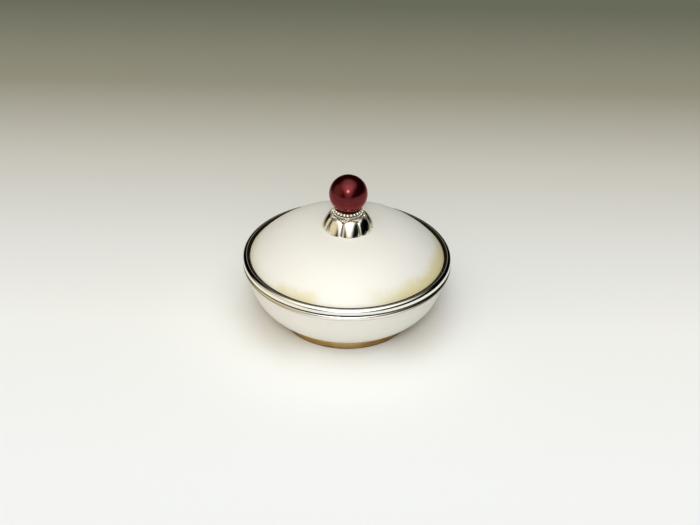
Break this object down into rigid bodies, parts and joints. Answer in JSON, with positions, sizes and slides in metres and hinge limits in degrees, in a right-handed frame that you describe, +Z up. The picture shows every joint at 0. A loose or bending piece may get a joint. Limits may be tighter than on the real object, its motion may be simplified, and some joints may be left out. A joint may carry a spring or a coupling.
{
  "type": "lidded bowl",
  "caption": "Low round silver bowl on a foot ring, with a domed lift-off lid, round rim wires and a red pearl knob in a fluted cap.",
  "frame": {"origin": "on the ground, at the centre of the foot ring", "axes": "+Z up, along the axis that every turned piece shares"},
  "size_m": [0.088, 0.088, 0.0672],
  "materials": {
    "satin_silver": "satin",
    "polished_silver": "polished",
    "plain_silver": "satin",
    "red_pearl": "gloss"
  },
  "bodies": {
    "bowl": {"bowl_body": "satin_silver", "bowl_rim_wire": "polished_silver", "foot_ring": "polished_silver"},
    "lid": {"lid_dome": "satin_silver", "lid_rim_wire": "polished_silver", "lid_bezel": "plain_silver", "petal_cap": "polished_silver", "granulated_cup": "polished_silver", "beaded_ring": "polished_silver", "pearl": "red_pearl", "knob_post": "plain_silver", "knob_washer": "plain_silver", "knob_nut": "plain_silver"}
  },
  "joints": [
    {"name": "lid_lift", "type": "slide", "parent": "bowl", "child": "lid", "axis": [0, 0, 1], "range_m": [0, 0.06]}
  ]
}
